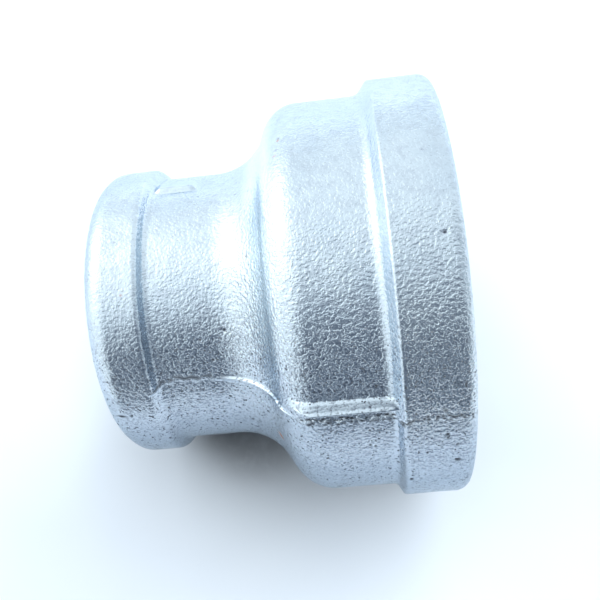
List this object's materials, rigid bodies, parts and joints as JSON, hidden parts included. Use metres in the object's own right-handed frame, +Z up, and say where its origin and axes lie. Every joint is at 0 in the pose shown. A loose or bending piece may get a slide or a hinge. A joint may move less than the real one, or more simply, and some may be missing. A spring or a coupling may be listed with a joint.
{
  "type": "concentric reducer",
  "caption": "Threaded pipe reducing socket: a bell-shaped malleable iron fitting, banded at both ends, that joins a larger pipe to a smaller one on the same axis.",
  "frame": {"origin": "on the pipe axis, midway between the two faced ends", "axes": "+X along the pipe axis towards the large end, +Z up with the part lying on its side, +Y completes the right-handed frame"},
  "size_m": [0.08, 0.1032, 0.1032],
  "materials": {
    "cast_iron": "machined threads and faces, grey and lightly oiled",
    "zinc": "hot-dip galvanised, bright blue-grey with orange-peel texture, fine pits and runs"
  },
  "bodies": {
    "root": {"iron_casting": "cast_iron", "zinc_coat_outer": "zinc", "zinc_coat_waterway": "zinc"}
  },
  "joints": []
}
